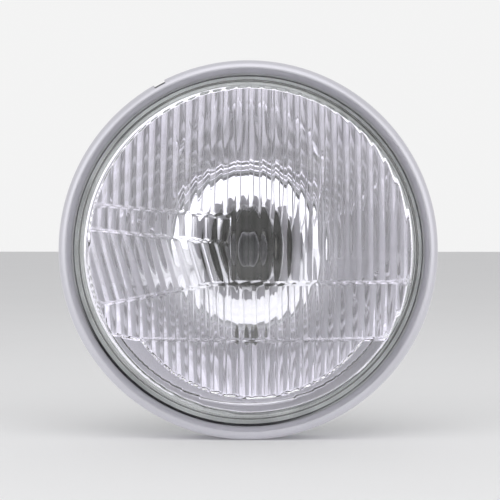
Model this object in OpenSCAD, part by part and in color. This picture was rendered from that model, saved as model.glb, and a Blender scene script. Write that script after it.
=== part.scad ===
// Seven-inch motorcycle headlight: a domed lens with moulded flutes, sealed to a
// deep steel reflector, held by wire clips in a satin-plated rim, with a
// three-blade bulb, its rubber boot and a pilot lamp at the back.
// Built in a view frame (x right, y up, z towards the viewer) and then turned, so
// that +Z is up, the lens faces -Y and the lamp's axis is the Y axis. The origin is
// on the axis, in the plane of the rim's rear edge.

/* [Rim] */
// Outside diameter of the rim
rim_d = 178; // [172:1:190]
// Depth of the rim from its rear edge to its front
rim_depth = 24; // [22:1:30]
// Thickness of the rim's sheet
rim_wall = 0.9; // [0.7:0.1:1.2]
// Width of the rounded bead, seen from the front
bead_w = 4; // [3:0.5:5]
// Depth of the rounded bead
bead_h = 6; // [4:0.5:8]
// Width of the hem turned inwards at the rear edge
hem_w = 2.4; // [2:0.2:3]
// Depth of the lip that slopes in to the lens
lip_h = 3; // [2:0.25:3.5]
// Angle of the notch in the rim's edge, from the right, anticlockwise
notch_angle = 118; // [100:1:140]
// Length of the notch along the rim
notch_w = 5.6; // [4:0.2:8]
// Depth of the notch into the rim
notch_depth = 1.4; // [1:0.1:1.8]

/* [Lens] */
// Width of the sloping channel between the rim's bead and the lens
channel_w = 3; // [2.5:0.25:3.5]
// Radius of the dome's outer face
dome_r = 165; // [150:5:200]
// Thickness of the glass
glass_t = 4; // [3.5:0.25:4.5]
// Radius of the rounded shoulder at the edge of the dome
shoulder_r = 5; // [4.5:0.5:6]
// Height of the straight wall under the shoulder
skirt_h = 5.4; // [4.5:0.2:6.5]
// Width of the plain band round the flutes
band_w = 6.2; // [5:0.2:8]
// Sideways shift of the fluted field in the glass
field_shift = 1.8; // [0:0.2:2]
// Distance from flute to flute
flute_pitch = 5.85; // [5:0.05:8]
// Depth of one flute in the inner face
flute_depth = 0.3; // [0.2:0.05:0.7]
// Lean of the flutes in the left-hand kerb sector
lean = 15.5; // [10:0.5:20]
// Width of the fine lines between the fields
line_w = 0.5; // [0.3:0.1:0.8]
// Depth of the curved prism bands at the foot of the lens
prism_depth = 1.1; // [0.6:0.1:1.4]

/* [Reflector] */
// Focal length of the reflector
focal = 24.5; // [23:0.5:28]
// Thickness of the reflector's sheet
refl_wall = 0.8; // [0.6:0.1:1]
// Width of the flat flange that carries the lens
flange_w = 5.5; // [5:0.5:7]
// Height of the flange above the rim's rear edge
flange_z = 12; // [10:1:14]
// Height of the turned-up edge round the lens
cup_h = 4.6; // [3.5:0.2:5]
// Thickness of the sealing compound between lens and reflector
seal_t = 0.7; // [0.5:0.1:1]
// Diameter of the hole for the bulb
bulb_hole_d = 38; // [36:1:40]
// Distance from the bulb's flange to the middle of the spring's screws
screw_gap = 1.9; // [1.8:0.1:3]
// Width of the seat ring outside the screws
seat_edge = 2.6; // [2:0.2:4]
// Thickness of the seat ring
seat_t = 1.6; // [1.2:0.2:2]

/* [Bulb] */
// Distance from the seat to the reflector's focus, between the two filaments
light_centre = 29; // [27:0.5:31]
// Free space on each side of the focus
focus_gap = 4; // [2:0.5:5]
// Diameter of the bulb's glass
bulb_glass_d = 17; // [16:0.5:19]
// Thickness of the bulb's glass
bulb_glass_t = 0.8; // [0.6:0.1:1.2]
// Length of the glass in front of the seat
bulb_glass_l = 56; // [50:1:60]
// Diameter of the bulb's metal flange
bulb_flange_d = 43; // [42:0.5:46]
// Diameter of the plastic base behind the flange
base_d = 25; // [22:1:28]
// Length of the base behind the flange
base_l = 11; // [9:1:13]
// Width of a terminal blade
blade_w = 8; // [6:0.2:8]
// Thickness of a terminal blade
blade_t = 0.8; // [0.6:0.1:1]
// Length of a terminal blade behind the base
blade_l = 11; // [9:1:13]

/* [Boot] */
// Thickness of the boot's rubber
boot_t = 2; // [1.5:0.25:2.5]
// Radius of the boot's round ribs
boot_rib = 0.9; // [0.6:0.1:1.2]
// Depth of the boot behind the seat
boot_l = 16; // [15:1:18]

/* [Pilot lamp] */
// Distance of the pilot lamp below the axis
pilot_drop = 43; // [42:0.5:46]
// Diameter of the hole that the pilot bulb looks through
pilot_hole_d = 9.4; // [9:0.2:10.4]
// Outside diameter of the sleeve that carries the pilot lamp
pilot_sleeve_d = 17; // [16:0.5:18]
// Length of the pilot lamp's holder
pilot_holder_l = 20; // [18:1:24]

/* [Fixings] */
// Number of wire clips between the rim and the reflector
clip_count = 5; // [4:1:6]
// Diameter of the clip wire
clip_wire = 1.8; // [1.4:0.1:2]
// Length of a clip along the rim
clip_l = 34; // [30:1:40]
// Width of a side bracket
bracket_w = 16; // [14:1:20]
// Thickness of a side bracket
bracket_t = 1.5; // [1.2:0.1:2]
// Distance of the side screws behind the rim's rear edge
screw_back = 8; // [7:0.5:10]
// Bore of the captive nuts, before the thread
nut_bore = 4.2; // [3.3:0.1:5]
// Width of the captive nuts across the flats
nut_w = 9; // [8:0.5:10]
// Thickness of the captive nuts
nut_t = 4; // [3:0.5:5]

/* [Hidden] */
$fn = 96;

// clearance between pieces that are seated on each other
fit = 0.3;

// rim
rim_r = rim_d / 2;
crease_r = rim_r - bead_w;
inner_r = rim_r - rim_wall;

// lens, measured from its dome's centre
lens_r = crease_r - channel_w;
lip_r = lens_r + 0.6;
lens_foot = flange_z + seal_t;
shoulder_z = lens_foot + skirt_h;
dome_z = shoulder_z - sqrt(pow(dome_r - shoulder_r, 2) - pow(lens_r - shoulder_r, 2));
dome_edge = dome_r * (lens_r - shoulder_r) / (dome_r - shoulder_r);
inner_dome = dome_r - glass_t;
wall_r = lens_r - glass_t;
field_r = lens_r - band_w;

// fluted fields, as places seen from the front
step_x = -7.8;
kerb_top = [[-90, 22.8], [step_x, 15.6]];
kerb_foot = [[-90, 11.5], [step_x, 3.5]];
lower_y = -14.5;
sector_foot = [[-90, -29.5], [step_x - 6.7, lower_y]];
foot_y = -40.8;
foot_line = [[-90, -34], [-52, foot_y]];
arc_c = [2, -5.8];
arc_r = 62.1;

// reflector
mouth_r = lens_r - flange_w;
vertex_z = flange_z - mouth_r * mouth_r / (4 * focal);
hole_r = bulb_hole_d / 2;
cup_in = lens_r + seal_t;
cup_out = cup_in + refl_wall;
focus_z = vertex_z + focal;
seat_z = focus_z - light_centre;
neck_r = hole_r + refl_wall;
pilot_r = pilot_hole_d / 2;
sleeve_r = pilot_sleeve_d / 2;
sleeve_z = parabola(pilot_drop - sleeve_r) - refl_wall - 6;

// bulb
glass_r = bulb_glass_d / 2;
glass_foot = seat_z + 7;
glass_tip = seat_z + bulb_glass_l;
flange_t = 1.2;
flange_back = seat_z - seat_t - flange_t;
base_r = base_d / 2;
base_back = flange_back - base_l;
blade_back = base_back - blade_l;
shell_r = glass_r + 1;

// boot
screw_x = bulb_flange_d / 2 + screw_gap;
seat_r = screw_x + seat_edge;
boot_in = seat_r + fit;
boot_out = boot_in + boot_t;
boot_back = seat_z - boot_l;

// pilot lamp
grommet_in = pilot_r + 0.5;
holder_z = sleeve_z - 3;
holder_back = holder_z - pilot_holder_l / 2;
pilot_bulb_r = pilot_r - 0.5;
pilot_tip = parabola(pilot_drop) + 5;

// brackets
bracket_x = sqrt(inner_r * inner_r - bracket_w * bracket_w / 4);
bracket_front = flange_z - refl_wall - fit;
bracket_rear = -screw_back - nut_w / 2 - 2;

function parabola(r) = vertex_z + r * r / (4 * focal);
function dome(r, radius) = dome_z + sqrt(radius * radius - r * r);
function polar(radius, angle) = [radius * cos(angle), radius * sin(angle)];

// turns the view frame into the part's frame
module placed() {
    rotate([90, 0, 0]) children();
}

function unit(v) = v / norm(v);

// path with each corner cut into two gentler ones
function eased(path, cut) = concat(
    [path[0]],
    [for (i = [1 : len(path) - 2], side = [-1, 1])
        path[i] + cut * unit(path[i + side] - path[i])],
    [path[len(path) - 1]]
);

// direction of the path at each point
function heading(path, i) =
    i == 0 ? unit(path[1] - path[0])
    : i == len(path) - 1 ? unit(path[i] - path[i - 1])
    : unit(unit(path[i] - path[i - 1]) + unit(path[i + 1] - path[i]));

// wire of radius r along a path; side is a direction that the path never takes
module bent_wire(corners, r, side, cut = 1.2) {
    n = 10;
    path = eased(corners, cut);
    last = len(path) - 1;
    points = [for (i = [0 : last])
        let (t = heading(path, i), u = unit(cross(t, side)), v = cross(t, u))
            for (k = [0 : n - 1])
                path[i] + r * (u * cos(360 * k / n) + v * sin(360 * k / n))];
    walls = [for (i = [0 : last - 1], k = [0 : n - 1], half = [0, 1])
        let (a = i * n + k, b = i * n + (k + 1) % n)
            half == 0 ? [a, a + n, b] : [b, a + n, b + n]];
    ends = [[for (k = [0 : n - 1]) k], [for (k = [n - 1 : -1 : 0]) last * n + k]];
    polyhedron(points = points, faces = concat(walls, ends));
}

// ring between two radii and two heights
module ring(inner, outer, low, high) {
    translate([0, 0, low])
        difference() {
            cylinder(r = outer, h = high - low);
            translate([0, 0, -1]) cylinder(r = inner, h = high - low + 2);
        }
}

// half section of the rim: hem, skirt, quarter-round bead and sloping lip
module rim_section() {
    outer = concat(
        [[inner_r - hem_w, 0], [rim_r, 0]],
        [for (a = [0 : 10 : 90])
            [crease_r + bead_w * cos(a), rim_depth - bead_h + bead_h * sin(a)]],
        [[lip_r, rim_depth - lip_h]]
    );
    inner = concat(
        [[lip_r, rim_depth - lip_h - rim_wall * 1.3]],
        [for (a = [90 : -10 : 0])
            [crease_r + (bead_w - rim_wall) * cos(a),
             rim_depth - bead_h + (bead_h - rim_wall) * sin(a)]],
        [[inner_r, rim_wall], [inner_r - hem_w, rim_wall]]
    );
    polygon(concat(outer, inner));
}

module rim() {
    color("silver") placed() difference() {
        rotate_extrude() rim_section();
        // locating notch in the edge of the bead
        rotate([0, 0, notch_angle])
            translate([rim_r - notch_depth, -notch_w / 2, rim_depth - bead_h - 3])
                cube([notch_depth + 5, notch_w, bead_h + 4]);
        // gaps in the hem for the side brackets
        for (side = [-1, 1])
            translate([side * (inner_r - hem_w / 2 - 1) - hem_w, -bracket_w / 2 - fit, -1])
                cube([hem_w * 2, bracket_w + 2 * fit, rim_wall + 2]);
    }
}

// outer form of the glass: dome, rounded shoulder and straight wall
module lens_section() {
    top = [for (i = [0 : 24])
        let (r = dome_edge * i / 24) [r, dome(r, dome_r)]];
    turn = acos((dome(dome_edge, dome_r) - shoulder_z) / shoulder_r);
    shoulder = [for (a = [turn + 8 : (82 - turn) / 6 : 90])
        [lens_r - shoulder_r + shoulder_r * sin(a), shoulder_z + shoulder_r * cos(a)]];
    polygon(concat([[0, lens_foot]], top, shoulder, [[lens_r, shoulder_z], [lens_r, lens_foot]]));
}

// plain space inside the glass
module lens_hollow() {
    intersection() {
        translate([0, 0, dome_z]) sphere(r = inner_dome, $fn = 240);
        translate([0, 0, lens_foot - 1]) cylinder(r = wall_r, h = dome_r);
    }
}

// a block with scallops on its round top, turned about a level line through the
// dome's centre, so the flutes run up and down the inside of the dome
module flute_block(phase, from, to) {
    step = flute_pitch / inner_dome * 180 / PI;
    first = phase / inner_dome * 180 / PI;
    low = floor((from - phase) / flute_pitch) - 1;
    high = ceil((to - phase) / flute_pitch) + 1;
    parts = 3;
    cusp = inner_dome + 0.12;
    sweep = 62;
    crest = [for (i = [low : high - 1], k = [0 : parts - 1])
        let (u = k / parts)
            polar(cusp + flute_depth * 4 * u * (1 - u), first + (i + u) * step)];
    last = polar(cusp, first + high * step);
    ends = [for (i = [high, low]) polar(inner_dome - 5, first + i * step)];
    translate([0, 0, dome_z])
        rotate([0, -90, 0])
            rotate([0, 0, -sweep / 2])
                rotate_extrude(angle = sweep)
                    polygon([for (p = concat(crest, [last], ends)) [p[0], -p[1]]]);
}

// flat shapes of the fields, each set back from its border by half a fine line
module border(line) {
    a = line[0];
    d = line[1] - a;
    translate(a) rotate(atan2(d[1], d[0]))
        translate([-5, -line_w / 2]) square([norm(d) + 5 + line_w / 2, line_w]);
}

module field_circle() {
    translate([field_shift, 0]) circle(r = field_r);
}

module upper_field() {
    intersection() {
        field_circle();
        union() {
            polygon([kerb_top[0] + [0, line_w], kerb_top[1] + [line_w, line_w],
                     [step_x + line_w, lower_y + line_w], [90, lower_y + line_w],
                     [90, 90], [-90, 90]]);
        }
    }
}

module kerb_field() {
    intersection() {
        field_circle();
        polygon([kerb_top[0], kerb_top[1], kerb_foot[1] + [0, line_w],
                 kerb_foot[0] + [0, line_w]]);
    }
}

module sector_field() {
    intersection() {
        field_circle();
        polygon([kerb_foot[0], kerb_foot[1], [step_x, lower_y + line_w],
                 sector_foot[1] + [0, line_w], sector_foot[0] + [0, line_w]]);
    }
}

module lower_field() {
    intersection() {
        field_circle();
        polygon([sector_foot[0], sector_foot[1], [90, lower_y], [90, foot_y + line_w],
                 foot_line[1] + [0, line_w], foot_line[0] + [0, line_w]]);
    }
}

module foot_field() {
    intersection() {
        field_circle();
        translate(arc_c) circle(r = arc_r);
        polygon([foot_line[0], foot_line[1], [90, foot_y], [90, -90], [-90, -90]]);
    }
}

// curved prism bands between the foot field and the edge of the flutes
module prism_bands() {
    edges = [arc_r - 6, field_r - 4.5, field_r + 2.4];
    intersection() {
        rotate_extrude()
            polygon(concat(
                [[edges[0], dome(edges[0], inner_dome) - 5]],
                [for (i = [0 : 1], k = [0 : 1])
                    let (r = k == 0 ? edges[i] + 0.15 : edges[i + 1])
                        [r, dome(r, inner_dome) + 0.15 + prism_depth * k]],
                [[edges[2], dome(edges[2], inner_dome) - 5]]
            ));
        linear_extrude(height = 90) difference() {
            intersection() {
                field_circle();
                polygon([foot_line[0], foot_line[1], [90, foot_y], [90, -90], [-90, -90]]);
            }
            translate(arc_c) circle(r = arc_r + line_w);
        }
    }
}

module fluted(phase, from, to, turn = 0) {
    intersection() {
        rotate([0, 0, turn]) flute_block(phase, from, to);
        translate([0, 0, lens_foot]) linear_extrude(height = 80) children();
    }
}

module lens() {
    reach = field_r + field_shift;
    color("aliceblue", 0.5) placed() difference() {
        rotate_extrude() lens_section();
        lens_hollow();
        fluted(0.6, -reach, reach) upper_field();
        fluted(step_x, -reach, step_x) kerb_field();
        fluted(step_x, -reach, step_x + 2, lean) sector_field();
        fluted(2, -reach, reach) lower_field();
        fluted(2, arc_c[0] - arc_r + 6, arc_c[0] + arc_r - 6) foot_field();
        prism_bands();
    }
}

// sealing compound: a bed under the glass and a collar round it
module lens_seal() {
    color("#26282a") placed() rotate_extrude()
        polygon([[wall_r - 0.5, flange_z], [cup_in, flange_z], [cup_in, flange_z + cup_h],
                 [lens_r, flange_z + cup_h], [lens_r, lens_foot], [wall_r - 0.5, lens_foot]]);
}

// soft ring between the rim's lip and the turned-up edge of the reflector
module rim_gasket() {
    top = rim_depth - lip_h - rim_wall * 1.3;
    color("#1c1d1f") placed()
        ring(lens_r + 0.15, cup_out + 0.9, flange_z + cup_h, top);
}

// half section of the reflector's sheet
module reflector_section() {
    steps = 24;
    inner = [for (i = [0 : steps])
        let (r = hole_r + (mouth_r - hole_r) * i / steps) [r, parabola(r)]];
    outer = [for (i = [steps : -1 : 0])
        let (r = hole_r + (mouth_r - hole_r) * i / steps,
             s = r / (2 * focal), n = refl_wall / sqrt(1 + s * s))
            [r + n * s, parabola(r) - n]];
    back = flange_z - refl_wall;
    polygon(concat(
        [[hole_r, seat_z], each inner],
        [[cup_in, flange_z], [cup_in, flange_z + cup_h], [cup_out, flange_z + cup_h],
         [cup_out, back], [outer[0][0] + 0.35, back]],
        [for (i = [1 : steps - 1]) outer[i]],
        [[neck_r, outer[steps][1]], [neck_r, seat_z]]
    ));
}

// space inside the bowl, out to the middle of its sheet
module bowl_space() {
    steps = 24;
    rotate_extrude()
        polygon(concat(
            [for (i = [0 : steps])
                let (r = mouth_r * i / steps, s = r / (2 * focal))
                    [r, parabola(r) - refl_wall / 2 * sqrt(1 + s * s)]],
            [[0, flange_z]]
        ));
}

module reflector() {
    color("gainsboro") placed() difference() {
        union() {
            rotate_extrude() reflector_section();
            difference() {
                translate([0, -pilot_drop, sleeve_z])
                    cylinder(r = sleeve_r, h = parabola(pilot_drop + sleeve_r) - sleeve_z);
                bowl_space();
            }
        }
        translate([0, -pilot_drop, sleeve_z - 1])
            cylinder(r = pilot_r, h = 60);
        translate([0, -pilot_drop, sleeve_z - 1])
            cylinder(r = sleeve_r - refl_wall, h = 6);
    }
}

// wire clips, each bent like a W between the hem and the back of the flange
module spring_clips() {
    r = clip_wire / 2;
    low = rim_wall + r;
    high = flange_z - refl_wall - r;
    hem = inner_r - r - 0.4;
    bed = (mouth_r + cup_out) / 2 + 0.6;
    s = clip_l / 2;
    color("darkgray") placed()
        for (i = [0 : clip_count - 1])
            rotate([0, 0, 90 + 360 * i / clip_count + 180 / clip_count * (clip_count % 2 == 0 ? 1 : 0)])
                bent_wire([[hem - s * s / hem / 2, -s, low], [bed - 0.3, -s * 0.5, high],
                           [bed - 0.3, -s * 0.34, high], [hem - 0.3, 0, low],
                           [bed - 0.3, s * 0.34, high], [bed - 0.3, s * 0.5, high],
                           [hem - s * s / hem / 2, s, low]], r, [1, 0, 2]);
}

// plates welded inside the skirt that reach back to the side screws
module side_brackets() {
    color("darkgray") placed()
        for (side = [0, 180])
            rotate([0, 0, side]) difference() {
                translate([bracket_x - bracket_t, -bracket_w / 2, bracket_rear])
                    cube([bracket_t, bracket_w, bracket_front - bracket_rear]);
                translate([bracket_x - bracket_t - 1, 0, -screw_back])
                    rotate([0, 90, 0]) cylinder(r = nut_bore / 2 + 0.6, h = bracket_t + 2);
            }
}

module captive_nuts() {
    color("lightgray") placed()
        for (side = [0, 180])
            rotate([0, 0, side]) difference() {
                translate([bracket_x - bracket_t - nut_t, -nut_w / 2, -screw_back - nut_w / 2])
                    cube([nut_t, nut_w, nut_w]);
                translate([bracket_x - bracket_t - nut_t - 1, 0, -screw_back])
                    rotate([0, 90, 0]) cylinder(r = nut_bore / 2, h = nut_t + 2);
            }
}

// ring behind the neck, with ears for the spring's two screws
module bulb_seat() {
    color("silver") placed() difference() {
        union() {
            ring(hole_r, seat_r, seat_z - seat_t, seat_z);
            ring(neck_r + 0.1, neck_r + 1.1, seat_z, seat_z + 4);
        }
        for (side = [-1, 1])
            translate([side * screw_x, 0, seat_z - seat_t - 1])
                cylinder(r = 1.2, h = seat_t + 2);
    }
}

// bent wire that presses the bulb's flange on its seat
module bulb_spring() {
    r = 0.7;
    z = flange_back - r;
    x = screw_x;
    bar = base_r + 1.6;
    color("darkgray") placed()
        bent_wire([[x, 2.6, seat_z - seat_t - r], [x - 1.5, 6, z], [bar * 0.85, bar, z],
                   [-bar * 0.85, bar, z], [-x + 1.5, 6, z],
                   [-x, 2.6, seat_z - seat_t - r]], r, [0, 0, 1]);
}

module spring_screws() {
    color("lightgray") placed()
        for (side = [-1, 1])
            translate([side * screw_x, 0, seat_z - seat_t]) {
                translate([0, 0, -1.4]) cylinder(r = 2.1, h = 1.4);
                cylinder(r = 1.1, h = seat_t + 1.2);
            }
}

module bulb_glass() {
    wall = bulb_glass_t;
    straight = glass_tip - glass_r;
    color("whitesmoke", 0.6) placed() difference() {
        union() {
            translate([0, 0, glass_foot]) cylinder(r = glass_r, h = straight - glass_foot);
            translate([0, 0, straight]) sphere(r = glass_r);
        }
        translate([0, 0, glass_foot - 1])
            cylinder(r = glass_r - wall, h = straight - glass_foot + 1);
        translate([0, 0, straight]) sphere(r = glass_r - wall);
    }
}

// flange disc with three lugs, and the skirt that centres it in the hole
module bulb_flange() {
    color("silver") placed() difference() {
        union() {
            translate([0, 0, flange_back]) cylinder(r = bulb_flange_d / 2 - 1.5, h = flange_t);
            for (a = [90, 210, 330])
                rotate([0, 0, a])
                    translate([0, a == 90 ? -4 : -3, flange_back])
                        cube([bulb_flange_d / 2, a == 90 ? 8 : 6, flange_t]);
            ring(hole_r - 1.3, hole_r - 0.3, flange_back, seat_z + 2);
            ring(shell_r - 0.2, hole_r - 0.4, seat_z + 1.2, seat_z + 2);
        }
        translate([0, 0, flange_back - 1]) cylinder(r = shell_r, h = 20);
    }
}

module bulb_shell() {
    color("silver") placed()
        ring(glass_r + 0.1, shell_r, flange_back, seat_z + 11);
}

module bulb_stem() {
    color("#d8d4c8") placed() translate([0, 0, flange_back])
        cylinder(r = glass_r - bulb_glass_t - fit, h = glass_foot + 2 - flange_back);
}

module bulb_base() {
    color("#3a3632") placed() translate([0, 0, base_back])
        cylinder(r = base_r, h = base_l);
}

// three blades in the pattern of a headlight plug: one above, one at each side
module terminals() {
    reach = base_r - 4.5;
    color("silver") placed() {
        translate([-blade_w / 2, reach - blade_t / 2, blade_back])
            cube([blade_w, blade_t, blade_l]);
        for (side = [-1, 1])
            translate([side * reach - blade_t / 2, -blade_w / 2 - 1.5, blade_back])
                cube([blade_t, blade_w, blade_l]);
    }
}

module main_filament() {
    color("dimgray") placed() translate([0, -0.4, focus_z - focus_gap - 5.4])
        cylinder(r = 0.75, h = 4.6);
}

module dipped_filament() {
    color("dimgray") placed() translate([0, 0.5, focus_z + focus_gap + 0.8])
        cylinder(r = 0.7, h = 3.8);
}

// small boat-shaped shield under the dipped filament
module dipped_shield() {
    r = 2.4;
    color("darkgray") placed() translate([0, 0.2, focus_z + focus_gap + 0.2])
        difference() {
            cylinder(r = r, h = 7.5);
            translate([0, 0, 0.5]) cylinder(r = r - 0.4, h = 8);
            translate([-6, 0, -1]) cube([12, 12, 12]);
        }
}

module filament_supports() {
    foot = glass_foot + 2;
    low = focus_z - focus_gap;
    high = focus_z + focus_gap;
    color("gray") placed() {
        bent_wire([[-3, -2, foot], [-3, -2, low - 1], [-1.4, -1, high + 0.06]], 0.4, [1, 0.2, 0], 0.6);
        bent_wire([[3, 2, foot], [3, 2, high + 5], [-0.3, 0.4, high + 5.01]], 0.4, [1, 0.2, 0.1], 0.6);
        bent_wire([[0, -3.6, foot], [0, -3.6, low - 7], [0, -0.2, low - 5.8]], 0.4, [1, 0.2, 0], 0.6);
    }
}

// rubber boot: grips the seat ring, then steps in to the base
module boot() {
    step = base_r + 9.5;
    color("#1b1b1c") placed() difference() {
        union() {
            rotate_extrude()
                polygon([[boot_in, seat_z + 4], [boot_out, seat_z + 4], [boot_out, seat_z - 5],
                         [boot_out - 1, seat_z - 7], [step, boot_back + 6.5],
                         [base_r + 5.5, boot_back + 4], [base_r + 4.5, boot_back],
                         [0, boot_back], [0, base_back - fit], [base_r + fit, base_back - fit],
                         [base_r + fit, flange_back - 4], [boot_in - 3, flange_back - 2.4],
                         [boot_in, flange_back - 1.6]]);
            rotate_extrude() translate([boot_out, seat_z + 2.8]) circle(r = boot_rib);
            rotate_extrude() translate([step, boot_back + 6.2]) circle(r = boot_rib);
            rotate_extrude() translate([base_r + 4.8, boot_back + 1.4]) circle(r = boot_rib);
        }
        translate([-blade_w / 2 - fit, base_r - 4.5 - blade_t / 2 - fit, boot_back - 1])
            cube([blade_w + 2 * fit, blade_t + 2 * fit, boot_l]);
        for (side = [-1, 1])
            translate([side * (base_r - 4.5) - blade_t / 2 - fit, -blade_w / 2 - 1.5 - fit,
                       boot_back - 1])
                cube([blade_t + 2 * fit, blade_w + 2 * fit, boot_l]);
    }
}

module pilot_grommet() {
    r = sleeve_r - refl_wall;
    color("#202022") placed() translate([0, -pilot_drop, 0]) {
        difference() {
            union() {
                translate([0, 0, sleeve_z]) cylinder(r = r - 0.1, h = 4.9);
                translate([0, 0, sleeve_z - 3]) cylinder(r = sleeve_r + 1.2, h = 3);
            }
            translate([0, 0, sleeve_z - 4]) cylinder(r = grommet_in, h = 10);
        }
    }
}

module pilot_holder() {
    color("silver") placed() translate([0, -pilot_drop, 0])
        difference() {
            union() {
                translate([0, 0, holder_back])
                    cylinder(r = grommet_in - 0.1, h = sleeve_z + 4.9 - holder_back);
                translate([0, 0, holder_z - 1.2]) cylinder(r = grommet_in + 1.2, h = 1.2);
            }
            translate([0, 0, holder_back + 1.2])
                cylinder(r = grommet_in - 0.6, h = pilot_holder_l * 2);
        }
}

module pilot_cap() {
    color("goldenrod") placed() translate([0, -pilot_drop, holder_back + 1.2])
        cylinder(r = grommet_in - 0.8, h = sleeve_z + 2 - holder_back);
}

module pilot_bulb() {
    foot = sleeve_z + 3.2;
    color("whitesmoke", 0.6) placed() translate([0, -pilot_drop, 0]) {
        translate([0, 0, foot]) cylinder(r = pilot_bulb_r, h = pilot_tip - pilot_bulb_r - foot);
        translate([0, 0, pilot_tip - pilot_bulb_r]) sphere(r = pilot_bulb_r);
    }
}

module pilot_contacts() {
    color("goldenrod") placed() translate([0, -pilot_drop, 0])
        for (side = [-1, 1])
            translate([side * 2.6 - 0.3, -2.4, holder_back - 7])
                cube([0.6, 4.8, 7]);
}

rim();
lens();
lens_seal();
rim_gasket();
reflector();
spring_clips();
side_brackets();
captive_nuts();
bulb_seat();
bulb_spring();
spring_screws();
bulb_glass();
bulb_flange();
bulb_shell();
bulb_base();
terminals();
main_filament();
dipped_filament();
dipped_shield();
filament_supports();
bulb_stem();
boot();
pilot_grommet();
pilot_holder();
pilot_bulb();
pilot_cap();
pilot_contacts();
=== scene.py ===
"""Look of the round motorcycle headlight: lens, rim, mirror, bulb and back.

Every shape is worked out in a view frame in millimetres (u to the right, v up and
w towards the viewer, with w = 0 in the plane of the rim's rear edge) and then put
into the part's frame in metres by placed().
"""

import math
from itertools import accumulate

import bmesh
import bpy
import numpy as np
from bpy.props import FloatProperty, FloatVectorProperty, IntProperty, PointerProperty
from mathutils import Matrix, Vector


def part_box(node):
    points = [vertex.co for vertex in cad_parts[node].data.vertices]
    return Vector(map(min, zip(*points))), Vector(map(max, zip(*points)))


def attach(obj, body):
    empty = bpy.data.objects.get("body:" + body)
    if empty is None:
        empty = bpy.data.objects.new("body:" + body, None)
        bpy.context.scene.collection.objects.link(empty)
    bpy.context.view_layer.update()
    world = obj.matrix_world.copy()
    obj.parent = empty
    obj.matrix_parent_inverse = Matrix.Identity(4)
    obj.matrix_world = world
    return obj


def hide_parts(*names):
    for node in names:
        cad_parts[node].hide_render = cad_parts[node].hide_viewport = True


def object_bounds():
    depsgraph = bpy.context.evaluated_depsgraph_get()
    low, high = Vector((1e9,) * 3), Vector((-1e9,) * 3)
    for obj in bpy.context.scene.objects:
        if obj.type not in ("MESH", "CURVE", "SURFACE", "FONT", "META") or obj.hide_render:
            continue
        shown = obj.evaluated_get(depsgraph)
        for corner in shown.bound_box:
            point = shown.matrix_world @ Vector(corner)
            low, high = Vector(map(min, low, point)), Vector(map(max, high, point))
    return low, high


bl_info = {
    "name": "Motorcycle headlight",
    "version": (1, 0, 0),
    "blender": (4, 5, 0),
    "location": "View3D > Sidebar > Headlight",
    "description": "Builds the lens, rim, mirror, bulb and back of a round headlight",
    "category": "Add Mesh",
}

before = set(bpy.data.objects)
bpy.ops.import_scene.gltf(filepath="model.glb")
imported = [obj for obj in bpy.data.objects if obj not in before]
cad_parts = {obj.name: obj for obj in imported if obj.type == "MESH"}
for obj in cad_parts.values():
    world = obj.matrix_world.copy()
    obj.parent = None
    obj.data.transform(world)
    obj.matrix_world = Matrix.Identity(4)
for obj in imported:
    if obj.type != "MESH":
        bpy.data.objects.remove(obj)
CAD_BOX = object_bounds()
MM = 0.001
BODY = "root"

# Measures in millimetres that several pieces share
LENS_GAP = 3.0  # from the rim's crease in to the edge of the glass
FLANGE_W = 12.0  # height of the reflector's flange
FLANGE_WIDTH = 5.5  # from the mirror's mouth out to the edge of the glass
LIGHT_CENTRE = 29.0  # from the bulb's seat to the mirror's focus
PILOT_DROP, PILOT_HOLE = 43.0, 4.7  # the pilot lamp's place below the axis, and its hole
NOTCH_ANGLE = 118.0  # the notch in the rim, in degrees from the right

# The room as seen in the mirror: degrees off the lens's axis and level there
ROOM = ((3.6, 0.14), (7.0, 0.50), (13, 0.70), (22, 1.0), (38, 1.18), (59, 1.18))
STRIP_PITCH, STRIP_LEVEL = 7.0, 0.08  # level strips in the room, in degrees


# Sizes and colours


def length_property(name, description, default):
    """A length in metres, for the panel."""
    return FloatProperty(name=name, description=description, default=default, unit="LENGTH")


def colour_property(name, description, default):
    """A colour with its alpha, for the panel."""
    return FloatVectorProperty(
        name=name, description=description, default=default, subtype="COLOR", size=4, min=0, max=1
    )


class LensSettings(bpy.types.PropertyGroup):
    """Sizes of the glass."""

    radius: length_property("Radius", "Edge of the glass", 0.082)
    foot: length_property("Foot", "Height of the glass's foot over the rim's rear edge", 0.0127)
    skirt: length_property("Skirt", "Height of the straight wall", 0.0054)
    dome: length_property("Dome", "Radius of the outer face", 0.165)
    thickness: length_property("Thickness", "Thickness of the glass", 0.004)
    shoulder: length_property("Shoulder", "Rounding at the edge", 0.005)
    band: length_property("Plain band", "Width of the band round the flutes", 0.0062)
    shift: length_property("Field shift", "Sideways shift of the fluted field", 0.0018)
    pitch: length_property("Flute pitch", "From flute to flute", 0.00585)
    depth: length_property("Flute depth", "Depth of one flute", 0.0003)
    line: length_property("Line", "Width of the lines between the fields", 0.0005)
    prism: length_property("Prisms", "Depth of the curved bands at the foot", 0.0011)
    lean: FloatProperty(
        name="Lean", description="Lean of the flutes in the kerb sector",
        default=math.radians(15.5), subtype="ANGLE", unit="ROTATION"
    )
    columns: IntProperty(name="Columns", description="Grid lines across", default=300, min=60)
    rows: IntProperty(name="Rows", description="Grid lines up the dome", default=236, min=60)
    tint: colour_property("Glass tint", "Colour of the glass", (0.984, 0.991, 0.994, 1.0))


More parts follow.
